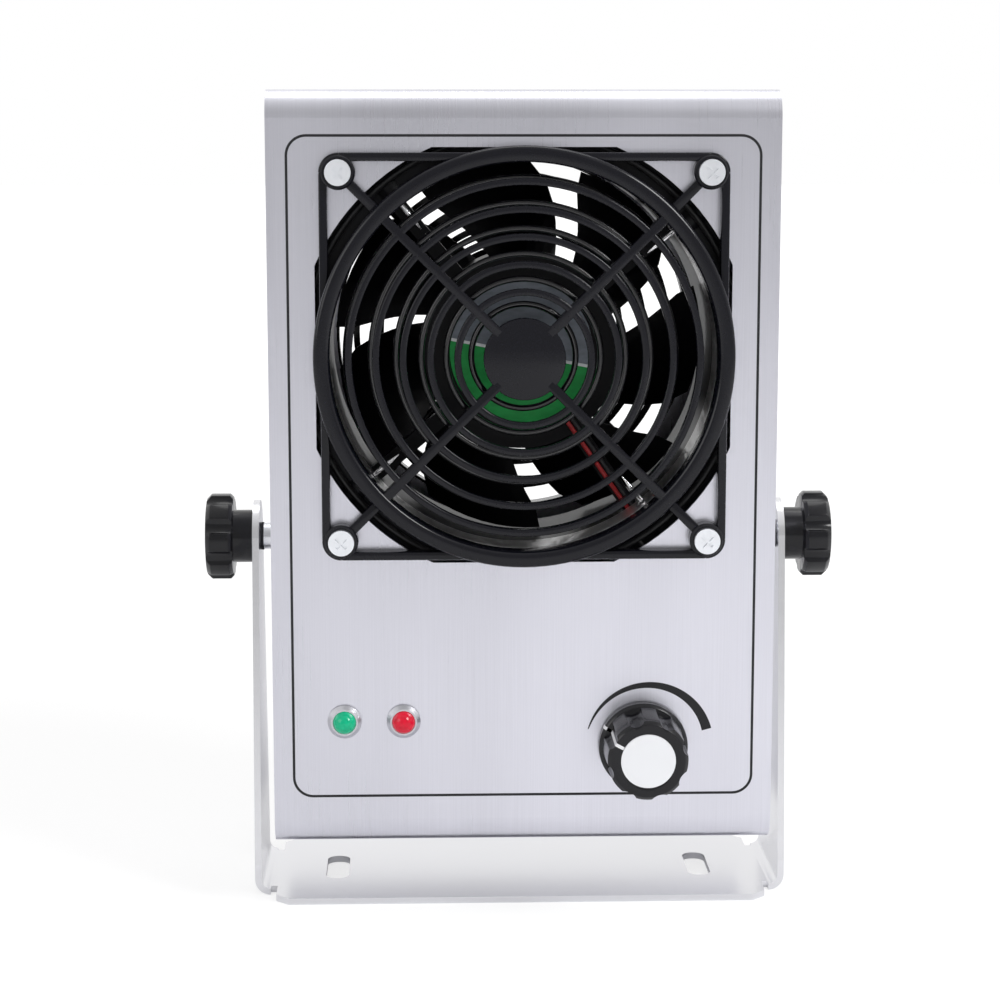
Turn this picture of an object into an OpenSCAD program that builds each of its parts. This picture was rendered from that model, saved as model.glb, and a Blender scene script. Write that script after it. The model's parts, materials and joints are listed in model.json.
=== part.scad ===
// Bench-top ionizing blower.
// A folded stainless housing hangs in a U bracket and tilts on two lock knobs. A 120 mm
// axial fan blows forward through a ground ring with four emitter needles, and finger
// guards close both ends of the air path.
// Origin: on the bench, under the tilt axis. X to the right, -Y to the front, Z up.

/* [Housing] */
// Width of the housing
body_w = 146; // [140:1:170]
// Height of the housing
body_h = 219.5; // [214:0.5:240]
// Depth of the housing, front panel to back panel
body_d = 83; // [80:1:110]
// Thickness of the housing sheet
sheet_t = 1.2; // [0.8:0.1:1.5]
// Outside radius of the two front bends
bend_r = 8; // [4:0.5:12]
// Outside radius of the sharp bends at the back
edge_r = 2.2; // [1.8:0.1:3]
// Height of the lips that carry the back panel
lip_h = 13; // [10:0.5:18]
// Fan axis above the underside of the housing
fan_up = 143.9; // [140:0.1:150]
// Tilt axis above the underside of the housing
pivot_up = 85.5; // [75:0.5:95]

/* [Bracket] */
// Height of the tilt axis above the bench
pivot_z = 107; // [104:1:125]
// Thickness of the bracket plate
bracket_t = 2; // [1.5:0.1:3]
// Gap between the housing and each arm
arm_gap = 5.5; // [4:0.1:9]
// Outside radius of the bracket bends
bracket_r = 4.7; // [3.5:0.1:8]
// Depth of the base plate
base_d = 62; // [50:1:90]
// Width of an arm at its foot
arm_w = 42; // [30:1:48]
// Radius of the round arm end
arm_end_r = 11; // [9:0.5:15]
// Width of a base slot
slot_w = 7; // [5:0.1:8]
// Length of a base slot
slot_l = 23; // [14:0.5:30]
// Spacing of the two base slots
slot_pitch = 112; // [90:1:120]

/* [Tilt lock] */
// Diameter of the lock stud
stud_d = 6; // [5:0.5:8]
// Diameter of the spacer between housing and arm
spacer_d = 8; // [7.5:0.1:12]
// Thickness of the friction washer
washer_t = 0.9; // [0.5:0.1:2]
// Diameter of a lock knob over its lobes
lock_d = 26; // [22:0.5:34]
// Thickness of the lobed head
lock_head = 8; // [6:0.5:12]
// Diameter of the knob's neck
lock_neck_d = 16; // [13:0.5:20]
// Length of the knob's neck
lock_neck = 6; // [4:0.5:10]
// Number of lobes
lock_lobes = 8; // [6:1:12]

/* [Fan] */
// Side of the square fan frame
fan_size = 120; // [118:1:122]
// Depth of the fan frame
fan_d = 38; // [32:1:40]
// Spacing of the fan's screw holes
fan_pitch = 105; // [104:0.5:106]
// Least wall between the air bore and the side of the fan frame
fan_wall = 3.8; // [3:0.1:4.5]
// Front face of the fan behind the front panel
fan_set = 17.5; // [17:0.5:22]
// Diameter of the motor plate
motor_d = 57; // [54:0.5:60]
// Diameter of the impeller hub
hub_d = 56.4; // [52:0.2:58]
// Gap between the blade tips and the bore
tip_gap = 1.2; // [0.8:0.1:2.5]
// Number of blades
blades = 7; // [5:1:9]
// Angle that one blade covers
blade_span = 43; // [30:1:46]
// Angle by which a blade tip lags its root
blade_sweep = 18; // [0:1:30]
// Thickness of a blade at its root
blade_t = 2.2; // [1.4:0.1:3]
// Diameter of the fan shaft
shaft_d = 4; // [3:0.5:5]
// Outside diameter of a fan bearing
bearing_d = 11; // [9:0.5:13]
// Width of a fan bearing
bearing_w = 4; // [3:0.5:5]

/* [Guards] */
// Side of the square finger guard
guard_size = 116; // [114:1:117]
// Depth of the finger guard
guard_d = 7; // [5:0.5:10]
// Outside diameter of the guard's rim
rim_d = 120; // [118.4:0.2:122]
// Radial width of the guard's rim
rim_w = 4.6; // [3:0.2:6]
// Width of a guard ring
ring_w = 2; // [1.4:0.1:3]
// Spacing of the guard rings
ring_pitch = 7.75; // [7.2:0.05:8.2]
// Radius of the first guard ring
ring_first = 19; // [18:0.5:20]
// Diameter of the guard's centre disc
disc_d = 23.4; // [18:0.2:28]
// Width of a diagonal spoke
spoke_w = 2.8; // [2:0.1:4]
// Wire diameter of the inner guard
wire_d = 1.8; // [1.4:0.1:2.2]
// Spacing of the inner guard's rings
wire_pitch = 7.2; // [6.5:0.1:8]

/* [Ionizer] */
// Step from the fan's air bore in to the ground ring
ground_step = 0.4; // [0.1:0.1:1.2]
// Length of an emitter needle from its block
needle_l = 20; // [14:0.5:24]
// Diameter of an emitter needle
needle_d = 1.6; // [1:0.1:2]
// Turn of the emitter pattern from the diagonals
needle_turn = -6; // [-9:1:-5]

/* [Controls] */
// Height of the indicators above the underside of the housing
led_up = 37.5; // [32:0.5:44]
// Left edge of the housing to the power indicator
led_in = 20.8; // [18:0.1:24]
// Spacing of the two indicators
led_pitch = 17.2; // [14:0.1:20]
// Diameter of an indicator bezel
bezel_d = 9.9; // [9.2:0.1:12]
// Diameter of an indicator lens
lens_d = 6.7; // [5:0.1:7]
// Height of the speed knob above the underside of the housing
knob_up = 29.8; // [26:0.2:36]
// Right edge of the housing to the speed knob
knob_in = 38; // [34:0.5:42]
// Diameter of the speed knob
knob_d = 26; // [20:0.5:30]
// Height of the speed knob
knob_h = 18.5; // [14:0.5:24]
// Number of flutes on the speed knob
knob_flutes = 8; // [6:1:12]
// Diameter of the potentiometer shaft
pot_shaft_d = 6; // [5:0.5:6.5]

/* [Back panel] */
// Centre line of the mains parts above the underside of the housing
mains_up = 30; // [27:0.5:36]
// Power inlet to the left of the middle
inlet_x = -36; // [-40:0.5:-34]
// Rocker switch to the right of the middle
rocker_x = 14; // [10:0.5:18]
// Fuse holder to the right of the middle
fuse_x = 46; // [42:0.5:50]

/* [Fits] */
// Radial running clearance of shafts and studs
run_fit = 0.05; // [0.02:0.01:0.1]
// Clearance between parts that are slipped together
slip = 0.1; // [0.05:0.05:0.25]

/* [Hidden] */

steel = "#c9cbce";
black = "#1b1b1e";
zinc = "#d9dadb";
brass = "#c9a24a";
green_board = "#2c6b3f";

$fn = 64;
eps = 0.01;

// Planes of the housing
front_y = -body_d / 2;
back_y = body_d / 2;
inner_front = front_y + sheet_t;
inner_back = back_y - sheet_t;
inner_w = body_w - 2 * sheet_t;
z0 = pivot_z - pivot_up;
z1 = z0 + body_h;
fan_z = z0 + fan_up;

// Bracket
bracket_w = body_w + 2 * (arm_gap + bracket_t);
relief_w = 2;
relief_d = 2.5;
plate_w = bracket_w - 2 * (bracket_r + relief_w);
plate_chamfer = 4;
arm_in_x = body_w / 2 + arm_gap;
arm_out_x = arm_in_x + bracket_t;

// Common fasteners: shank, head diameter, head height
m3 = [3, 5.6, 1.9];
m4 = [3.9, 7.4, 2.2];
nut_af = 7;
nut_t = 3.2;

// Guards
boss_r = 4.9;
boss_h = 5;
web_t = 2.2;
flat_half = rim_d / 2 - 0.5;
opening_r = 65;
wire_rings = 6;
wire_first = 15;
wire_back = inner_front + wire_d;

// Fan
fan_bore = fan_size - 2 * fan_wall;
fan_y0 = front_y + fan_set;
fan_y1 = fan_y0 + fan_d;
flange_t = 5;
strut_w = 4.5;
strut_t = 4;
strut_angles = [40, 130, 220, 305];
plate_t = 3.5;
label_d = 42;
label_t = 0.3;
plate_back = fan_y0 + plate_t;
hub_wall = 1.9;
hub_gap = 0.6;
hub_y0 = plate_back + hub_gap;
hub_y1 = fan_y1 - 2;
blade_y0 = fan_y0 + 12;
blade_y1 = fan_y1 - 2.5;
tip_r = fan_bore / 2 - tip_gap;
tube_wall = 1.2;
tube_y1 = fan_y0 + 25;
magnet_t = 2.2;
pole_gap = 0.6;

// Ionizer
ground_d = fan_bore - 2 * ground_step;
ground_t = 0.8;
ground_y0 = wire_back + 0.2;
ground_y1 = fan_y0 - 1.8;
carrier_t = 5;
needle_y = (ground_y0 + ground_y1) / 2;
block_r0 = ground_d / 2 + ground_t + 0.3;
block_r1 = block_r0 + 9.4;
block_d = 8;
needle_angles = [for (k = [0 : 3]) 45 + needle_turn + 90 * k];
bus_d = 2;
bus_r = block_r0 + 6.4;
bus_y = needle_y - block_d / 2 - bus_d / 2 - 0.1;

// Controls
led_z = z0 + led_up;
led_x = -body_w / 2 + led_in;
knob_x = body_w / 2 - knob_in;
knob_z = z0 + knob_up;
board_gap = 12;
board_y = inner_front + board_gap;
board_t = 1.6;
board_back = board_y + board_t;
board_w = body_w - 22;
board_z0 = z0 + 7;
board_z1 = z0 + 61;
pot_d = 16.5;
pot_t = 8.8;
bush_d = 7;
mains_z = z0 + mains_up;

// Flat helpers ---------------------------------------------------------------------

module box2(x0, x1, y0, y1) {
    translate([x0, y0]) square([x1 - x0, y1 - y0]);
}

module round_rect(w, h, r) {
    square([w - 2 * r, h], center = true);
    square([w, h - 2 * r], center = true);
    for (sx = [-1, 1], sy = [-1, 1])
        translate([sx * (w / 2 - r), sy * (h / 2 - r)]) circle(r);
}

// A rectangle with one radius on its low-x corners and another on its high-x corners
module sheet_rect(x0, x1, y0, y1, low_r, high_r) {
    box2(x0 + low_r, x1 - high_r, y0, y1);
    box2(x0, x1 - high_r, y0 + low_r, y1 - low_r);
    box2(x0 + low_r, x1, y0 + high_r, y1 - high_r);
    for (y = [y0 + low_r, y1 - low_r]) translate([x0 + low_r, y]) circle(low_r);
    for (y = [y0 + high_r, y1 - high_r]) translate([x1 - high_r, y]) circle(high_r);
}

module slot2(w, l) {
    square([w, l - w], center = true);
    for (s = [-1, 1]) translate([0, s * (l - w) / 2]) circle(d = w);
}

// Solid helpers --------------------------------------------------------------------

// A flat outline in X and Z, thick from y0 to y1
module slab_y(y0, y1) {
    translate([0, y1, 0]) rotate([90, 0, 0]) linear_extrude(y1 - y0) children();
}

// A flat outline in Y and Z, thick from x0 to x1
module slab_x(x0, x1) {
    translate([x0, 0, 0]) rotate([90, 0, 90]) linear_extrude(x1 - x0) children();
}

module rod_y(d, y0, y1, x = 0, z = 0) {
    translate([x, y0, z]) rotate([-90, 0, 0]) cylinder(d = d, h = y1 - y0);
}

module rod_x(d, x0, x1, y = 0, z = pivot_z) {
    translate([min(x0, x1), y, z]) rotate([0, 90, 0]) cylinder(d = d, h = abs(x1 - x0));
}

module hex_y(af, y0, y1, x = 0, z = 0) {
    translate([x, y0, z]) rotate([-90, 0, 0])
        cylinder(d = af / cos(30), h = y1 - y0, $fn = 6);
}

module box3(x0, x1, y0, y1, z0, z1) {
    translate([x0, y0, z0]) cube([x1 - x0, y1 - y0, z1 - z0]);
}

// A round lead through a list of points, with a slightly fuller bend at each of them
joint_swell = 1.04;
module lead(points, d) {
    for (i = [0 : len(points) - 2]) {
        step = points[i + 1] - points[i];
        reach = norm(step);
        translate(points[i])
            rotate([0, acos(step.z / reach), atan2(step.y, step.x)])
                cylinder(d = d, h = reach, $fn = 24);
        if (i > 0) translate(points[i]) sphere(d = d * joint_swell, $fn = 24);
    }
}

// A pan head screw along Y: its head's seat is at y, and dir is where the shank points
module screw_y(size, seat, tip, x, z) {
    dir = sign(tip - seat);
    head = seat - dir * size[2];
    difference() {
        union() {
            rod_y(size[0], min(seat, tip), max(seat, tip), x, z);
            rod_y(size[1], min(seat, head), max(seat, head), x, z);
        }
        for (a = [0, 90]) translate([x, head, z]) rotate([0, a + 45, 0])
            cube([size[1] * 0.55, 1.6, 0.9], center = true);
    }
}

module at_fan_corners() {
    for (sx = [-1, 1], sz = [-1, 1])
        translate([sx * fan_pitch / 2, 0, fan_z + sz * fan_pitch / 2]) children();
}

// Bracket --------------------------------------------------------------------------

module bracket_section(inset) {
    w = bracket_w - 2 * inset;
    r = bracket_r - inset;
    box2(-w / 2 + r, w / 2 - r, inset, pivot_z + arm_end_r + inset);
    box2(-w / 2, w / 2, bracket_r, pivot_z + arm_end_r + inset);
    for (s = [-1, 1]) translate([s * (w / 2 - r), bracket_r]) circle(r);
}

// Side view: a tapered arm that runs tangent into its round end, and the base below
module arm_outline() {
    foot = [arm_w / 2, 2 * bracket_r];
    drop = pivot_z - foot.y;
    touch = atan2(-drop, foot.x) + acos(arm_end_r / norm([foot.x, drop]));
    edge = [arm_end_r * cos(touch), pivot_z + arm_end_r * sin(touch)];
    translate([0, pivot_z]) circle(arm_end_r);
    polygon([[-edge.x, edge.y], [-foot.x, foot.y], [-foot.x, 0],
        [foot.x, 0], foot, edge]);
    box2(-base_d / 2, base_d / 2, 0, bracket_r);
}

module base_outline() {
    c = plate_chamfer;
    hw = plate_w / 2;
    hd = base_d / 2;
    polygon([[-hw + c, -hd], [hw - c, -hd], [hw, -hd + c], [hw, hd - c],
        [hw - c, hd], [-hw + c, hd], [-hw, hd - c], [-hw, -hd + c]]);
    difference() {
        square([bracket_w, arm_w], center = true);
        for (sx = [-1, 1], sy = [-1, 1])
            translate([sx * (hw + relief_w / 2), sy * arm_w / 2])
                square([relief_w, 2 * relief_d], center = true);
    }
}

module bracket() {
    color(steel) difference() {
        intersection() {
            slab_y(-base_d / 2, base_d / 2) difference() {
                bracket_section(0);
                bracket_section(bracket_t);
            }
            slab_x(-bracket_w / 2, bracket_w / 2) arm_outline();
            linear_extrude(pivot_z + arm_end_r) base_outline();
        }
        for (s = [-1, 1]) {
            translate([s * slot_pitch / 2, 0, -1])
                linear_extrude(bracket_t + 2) slot2(slot_w, slot_l);
            rod_x(stud_d + 0.5, s * (arm_in_x - 1), s * (arm_out_x + 1));
        }
    }
}

// Housing --------------------------------------------------------------------------

module fan_opening() {
    intersection() {
        circle(opening_r);
        square(2 * flat_half, center = true);
    }
}

// Front, top and bottom of the housing are one folded sheet with lips at the back
module front_shell() {
    t = sheet_t;
    lip_end = inner_w / 2 - slip;
    color(steel) difference() {
        slab_x(-body_w / 2, body_w / 2) difference() {
            sheet_rect(front_y, inner_back, z0, z1, bend_r, edge_r);
            sheet_rect(inner_front, inner_back - t, z0 + t, z1 - t, bend_r - t, edge_r - t);
            box2(inner_back - t - 1, inner_back + 1, z0 + lip_h, z1 - lip_h);
        }
        for (s = [-1, 1]) {
            translate([s * (lip_end + 5), inner_back, (z0 + z1) / 2])
                cube([10, 2 * edge_r + 2 * t, body_h - 2 * t], center = true);
            cover_holes(s);
        }
        translate([0, 0, fan_z]) slab_y(front_y - 1, inner_front + 1) fan_opening();
        at_fan_corners() rod_y(m4[0] + 0.5, front_y - 1, inner_front + 1);
        for (i = [0, 1])
            rod_y(lens_d + 1.3, front_y - 1, inner_front + 1, led_x + i * led_pitch, led_z);
        rod_y(bush_d + 0.3, front_y - 1, inner_front + 1, knob_x, knob_z);
        module_holes();
    }
}

module cover_holes(s) {
    for (z = [z0 + lip_h / 2, z1 - lip_h / 2])
        rod_y(m3[0] + 0.3, inner_back - sheet_t - 1, back_y + 1,
            s * (inner_w / 2 - 10), z);
}

module side_plan(w, y1, r) {
    box2(-w / 2, w / 2, inner_front - 1, y1 - r);
    box2(-w / 2 + r, w / 2 - r, inner_front - 1, y1);
    for (s = [-1, 1]) translate([s * (w / 2 - r), y1 - r]) circle(r);
}

// Back and sides are the second folded sheet, which slides in from behind
module rear_shell() {
    t = sheet_t;
    corner = bend_r - t + 0.4;
    color(steel) difference() {
        intersection() {
            translate([0, 0, z0 + t]) linear_extrude(body_h - 2 * t) difference() {
                side_plan(body_w, back_y, edge_r);
                side_plan(inner_w, inner_back, edge_r - t);
            }
            slab_x(-body_w / 2, body_w / 2) {
                box2(inner_front + corner, back_y, z0 + t, z1 - t);
                box2(inner_front, back_y, z0 + t + corner, z1 - t - corner);
                for (z = [z0 + t + corner, z1 - t - corner])
                    translate([inner_front + corner, z]) circle(corner);
            }
        }
        for (s = [-1, 1]) {
            rod_x(spacer_d + 2 * slip, s * (inner_w / 2 - 1), s * (body_w / 2 + 1));
            cover_holes(s);
        }
        rod_y(fan_bore, inner_back - 1, back_y + 1, 0, fan_z);
        at_fan_corners() rod_y(m4[0] + 0.5, inner_back - 1, back_y + 1);
        inlet_cuts(inner_back - 1, back_y + 1);
        slab_y(inner_back - 1, back_y + 1) translate([rocker_x, mains_z])
            square([rocker_w + 2 * slip, rocker_l + 2 * slip], center = true);
        rod_y(fuse_d + 2 * slip, inner_back - 1, back_y + 1, fuse_x, mains_z);
    }
}

module cover_screws() {
    color(zinc) for (s = [-1, 1], z = [z0 + lip_h / 2, z1 - lip_h / 2])
        screw_y(m3, back_y, inner_back - sheet_t - 4, s * (inner_w / 2 - 10), z);
}

// Tilt lock ------------------------------------------------------------------------

spacer_end = arm_in_x - washer_t - slip;

// Spacers with a wide foot inside the side walls; the lock studs screw into them
module pivot_nuts() {
    color(zinc) for (s = [-1, 1]) difference() {
        union() {
            rod_x(spacer_d, s * (inner_w / 2 - 1), s * spacer_end);
            rod_x(spacer_d + 5, s * (inner_w / 2 - 5), s * inner_w / 2);
        }
        rod_x(stud_d + 2 * run_fit, s * (inner_w / 2 - 6), s * (spacer_end + 1));
    }
}

module friction_washers() {
    color(black) for (s = [-1, 1]) difference() {
        rod_x(spacer_d + 0.4, s * spacer_end, s * (spacer_end + washer_t));
        rod_x(stud_d + 4 * run_fit, s * (spacer_end - 1), s * (spacer_end + washer_t + 1));
    }
}

module tilt_stud(s) {
    color(zinc) rod_x(stud_d, s * (inner_w / 2 - 4),
        s * (arm_out_x + slip + lock_neck + lock_head - 3));
}

// Star knob: a round neck under a head with lobes, hollowed slightly at its face
module tilt_knob(s) {
    neck = arm_out_x + slip;
    head = neck + lock_neck;
    lobe_r = lock_d * 0.11;
    ring_r = lock_d / 2 + lobe_r * 0.45;
    bore_end = head + lock_head - 3;
    color(black) mirror([s < 0 ? 1 : 0, 0, 0]) difference() {
        union() {
            rod_x(lock_neck_d, neck, head + 1);
            translate([head, 0, pivot_z]) rotate([0, 90, 0]) difference() {
                rotate_extrude() polygon([[0, 0], [lock_d / 2 - 1, 0], [lock_d / 2, 1],
                    [lock_d / 2, lock_head - 1.4], [lock_d / 2 - 1.4, lock_head],
                    [0, lock_head]]);
                for (i = [0 : lock_lobes - 1]) rotate([0, 0, (i + 0.5) * 360 / lock_lobes])
                    translate([ring_r, 0, -1]) cylinder(r = lobe_r, h = lock_head + 2);
            }
        }
        rod_x(stud_d, neck - 1, bore_end);
        translate([head + lock_head - 0.8, 0, pivot_z]) rotate([0, 90, 0])
            cylinder(d = lock_neck_d, h = 2);
    }
}

// Finger guards --------------------------------------------------------------------

// Moulded guard lying on z = 0 with its face up: rim, square frame, rings and spokes
module finger_guard() {
    rim_r = rim_d / 2;
    rim_in = rim_r - rim_w;
    half = guard_size / 2;
    corner = fan_pitch / 2;
    bar = 2.4;
    face = guard_d - 0.5;
    rings = floor((rim_in - ring_first) / ring_pitch);
    difference() {
        union() {
            rotate_extrude() polygon([[rim_in, 0], [rim_r, 0], [rim_r, guard_d - 1.6],
                [rim_r - 1.6, guard_d], [rim_in + 0.8, guard_d], [rim_in, guard_d - 0.8]]);
            linear_extrude(boss_h - 0.6) difference() {
                round_rect(guard_size, guard_size, half - corner);
                round_rect(guard_size - 2 * bar, guard_size - 2 * bar, half - corner - bar);
                circle(rim_r - rim_w / 2);
            }
            for (i = [0 : rings]) translate([0, 0, face - web_t])
                guard_ring(ring_first + i * ring_pitch, ring_w, web_t);
            translate([0, 0, face - web_t]) cylinder(d = disc_d, h = web_t);
            for (a = [45 : 90 : 315]) rotate([0, 0, a]) {
                translate([disc_d / 2 - 2, -spoke_w / 2, face - web_t])
                    cube([rim_r - rim_w / 2 - disc_d / 2 + 2, spoke_w, web_t]);
                translate([rim_r - rim_w / 2, -spoke_w / 2, 0.3])
                    cube([corner * sqrt(2) + half - corner - bar / 2 - rim_r + rim_w / 2,
                        spoke_w, boss_h - 1.2]);
            }
            for (sx = [-1, 1], sy = [-1, 1]) translate([sx * corner, sy * corner, 0])
                cylinder(r = boss_r, h = boss_h);
        }
        for (sx = [-1, 1], sy = [-1, 1]) translate([sx * corner, sy * corner, -1])
            cylinder(d = m4[0] + 0.5, h = boss_h + 2);
    }
}

module guard_ring(r, w, h) {
    difference() {
        cylinder(r = r + w / 2, h = h);
        translate([0, 0, -1]) cylinder(r = r - w / 2, h = h + 2);
    }
}

module front_guard() {
    color(black) translate([0, front_y, fan_z]) rotate([90, 0, 0]) finger_guard();
}

module rear_guard() {
    color(black) translate([0, back_y, fan_z]) rotate([-90, 0, 0]) finger_guard();
}

module front_guard_screws() {
    color(zinc) for (sx = [-1, 1], sz = [-1, 1])
        screw_y(m4, front_y - boss_h, wire_back + 6, sx * fan_pitch / 2,
            fan_z + sz * fan_pitch / 2);
}

module rear_guard_screws() {
    color(zinc) for (sx = [-1, 1], sz = [-1, 1])
        screw_y(m4, back_y + boss_h, inner_back - nut_t - 2, sx * fan_pitch / 2,
            fan_z + sz * fan_pitch / 2);
}

module rear_guard_nuts() {
    color(zinc) at_fan_corners() difference() {
        hex_y(nut_af, inner_back - nut_t, inner_back);
        rod_y(m4[0] + 2 * run_fit, inner_back - nut_t - 1, inner_back + 1);
    }
}

// Wire guard: round rings on four diagonal wires, each ending in an eye under a screw
module inner_guard() {
    eye_r = m4[0] / 2 + slip + wire_d / 2;
    reach = fan_pitch / sqrt(2) - eye_r;
    y = inner_front + wire_d / 2;
    color(black) translate([0, y, fan_z]) rotate([90, 0, 0]) {
        for (i = [0 : wire_rings - 1]) translate([0, 0, -wire_d * 0.8])
            rotate_extrude() translate([wire_first + i * wire_pitch, 0])
                circle(d = wire_d, $fn = 24);
        for (a = [45 : 90 : 315]) rotate([0, 0, a]) {
            translate([wire_first, 0, 0]) rotate([0, 90, 0])
                cylinder(d = wire_d, h = reach - wire_first, $fn = 24);
            translate([fan_pitch / sqrt(2), 0, 0])
                rotate_extrude() translate([eye_r, 0]) circle(d = wire_d, $fn = 24);
        }
    }
}

module standoffs() {
    color(brass) at_fan_corners() difference() {
        hex_y(nut_af, wire_back, fan_y0);
        rod_y(m4[0] + 2 * run_fit, wire_back - 1, fan_y0 + 1);
    }
}

// Ionizer --------------------------------------------------------------------------

module radial(a, r) {
    translate([0, needle_y, fan_z]) rotate([0, 90 - a, 0]) translate([0, 0, r]) children();
}

module ground_ring() {
    color("#e4e6e9") difference() {
        rod_y(ground_d + 2 * ground_t, ground_y0, ground_y1, 0, fan_z);
        rod_y(ground_d, ground_y0 - 1, ground_y1 + 1, 0, fan_z);
        for (a = needle_angles) radial(a, ground_d / 2 - 5) cylinder(d = 5, h = 10);
    }
}

// Insulating carrier: a square frame round the ground ring, a block for each needle
module emitter_ring() {
    bore = ground_d + 2 * (ground_t + slip);
    color(black) difference() {
        union() {
            translate([0, 0, fan_z])
                slab_y(needle_y - carrier_t / 2, needle_y + carrier_t / 2)
                    round_rect(fan_size - 2, fan_size - 2, 6);
            for (a = needle_angles) radial(a, block_r0)
                cylinder(d = block_d, h = block_r1 - block_r0);
        }
        rod_y(bore, inner_front, fan_y0, 0, fan_z);
        at_fan_corners() rod_y(nut_af / cos(30) + 2 * slip, wire_back, fan_y0);
        for (a = needle_angles) radial(a, block_r0 - 5)
            cylinder(d = needle_d + 2 * slip, h = 20);
    }
}

module emitter_needles() {
    taper = 4;
    color(zinc) for (a = needle_angles) radial(a, block_r1 - needle_l) {
        translate([0, 0, taper]) cylinder(d = needle_d, h = needle_l - taper, $fn = 32);
        cylinder(d1 = 0.3, d2 = needle_d, h = taper, $fn = 32);
    }
}

// Bus wire round the four blocks and the lead that feeds it from the supply
module hv_lead() {
    a = -58;
    join = [bus_r * cos(a), bus_y, fan_z + bus_r * sin(a)];
    turn = [join.x + 10, bus_y, board_z1 + 14];
    rise = [module_x1 - 10, module_y0 + 12, board_z1 + 8];
    color("#e7e2d8") {
        translate([0, bus_y, fan_z]) rotate([90, 0, 0]) rotate_extrude()
            translate([bus_r, 0]) circle(d = bus_d, $fn = 24);
        lead([join, turn, rise, [rise.x, rise.y, module_z1]], bus_d * 0.8);
    }
}

// Fan ------------------------------------------------------------------------------

module fan_frame() {
    tube_d = bearing_d + 2 * (slip + tube_wall);
    color(black) translate([0, 0, fan_z]) difference() {
        union() {
            difference() {
                union() {
                    for (y = [fan_y0, fan_y1 - flange_t])
                        slab_y(y, y + flange_t) round_rect(fan_size, fan_size, 4.5);
                    rod_y(fan_size - 0.6, fan_y0, fan_y1);
                }
                rod_y(fan_bore, fan_y0 - 1, fan_y1 + 1);
            }
            for (a = strut_angles) rotate([0, -a, 0])
                box3(motor_d / 2 - 1, fan_bore / 2 + 1, fan_y0, fan_y0 + strut_t,
                    -strut_w / 2, strut_w / 2);
            rod_y(motor_d, fan_y0, plate_back);
            rod_y(tube_d, fan_y0, tube_y1);
        }
        rod_y(label_d + 2 * slip, fan_y0 - 1, fan_y0 + label_t);
        rod_y(bearing_d + 2 * slip, plate_back - 1.5, tube_y1 + 1);
        for (sx = [-1, 1], sz = [-1, 1])
            rod_y(m4[0] + 0.5, fan_y0 - 1, fan_y1 + 1,
                sx * fan_pitch / 2, sz * fan_pitch / 2);
    }
}

module fan_label() {
    color("#8d949a") rod_y(label_d, fan_y0, fan_y0 + label_t, 0, fan_z);
}

bearing_y = [plate_back - 1.5, tube_y1 - bearing_w];

module fan_bearings() {
    color(zinc) for (y = bearing_y) difference() {
        rod_y(bearing_d, y, y + bearing_w, 0, fan_z);
        rod_y(shaft_d + 2 * run_fit, y - 1, y + bearing_w + 1, 0, fan_z);
    }
}

// Four-pole laminated core pressed over the bearing tube
module fan_stator() {
    tube_d = bearing_d + 2 * (slip + tube_wall);
    core_r = hub_d / 2 - hub_wall - magnet_t - pole_gap;
    color("#8a5a3c") translate([0, 0, fan_z]) slab_y(plate_back + 3, tube_y1 - 4)
        difference() {
            circle(core_r);
            circle(d = tube_d + 2 * slip);
            for (a = [0 : 90 : 270]) rotate(a) {
                box2(core_r - 3, core_r + 1, -1.2, 1.2);
                box2(tube_d / 2 + 3, core_r - 3 + eps, -4, 4);
            }
        }
}

module fan_screws() {
    color(zinc) for (sx = [-1, 1], sz = [-1, 1])
        screw_y(m4, fan_y0 + flange_t, fan_y0 - 5.5, sx * fan_pitch / 2,
            fan_z + sz * fan_pitch / 2);
}

// Supply leads: along the front of a strut, out under the frame, down to the board
module fan_leads() {
    d = 1.3;
    a = strut_angles[3];
    y = fan_y0 - d / 2 - 0.05;
    for (i = [0, 1]) {
        side = (i - 0.5) * 1.6;
        start = label_d / 2 + 2;
        out = fan_size / 2 * 1.02;
        plug_x = plug_mid_x + (i - 0.5) * 3;
        color(i == 0 ? "#c8252b" : black) lead([
            [start * cos(a) - side * sin(a), y, fan_z + start * sin(a) + side * cos(a)],
            [out * cos(a) - side * sin(a), y, fan_z + out * sin(a) + side * cos(a)],
            [plug_x, y, fan_z - fan_size / 2 - 3],
            [plug_x, plug_y, board_z1 + 4],
            [plug_x, plug_y, plug_z1]], d);
    }
}

// Impeller -------------------------------------------------------------------------

blade_stations = 6;
blade_steps = 8;

// Point of a blade: s runs from root to tip, u along the chord, side is +1 or -1
function blade_point(s, u, side) =
    let (
        r = hub_d / 2 - 1 + s * (tip_r - hub_d / 2 + 1),
        span = blade_span * (1 - 0.16 * pow(s, 8)),
        a = blade_sweep * (s - 0.5) + span * (u - 0.5),
        thick = blade_t * (1 - 0.45 * s) * (0.16 + 0.84 * sqrt(max(0, 4 * u * (1 - u)))),
        camber = 2.4 * sin(180 * u),
        edge = 1.6 * pow(s, 2),
        y = blade_y1 - edge - u * (blade_y1 - blade_y0 - 2 * edge) - camber
            + side * thick / 2 + 1.2
    ) [r * cos(a), y, r * sin(a)];

// The section at one station: up one side of the chord and back along the other
function blade_section(s) = concat(
    [for (k = [0 : blade_steps]) blade_point(s, k / blade_steps, 1)],
    [for (k = [blade_steps : -1 : 0]) blade_point(s, k / blade_steps, -1)]);

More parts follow.
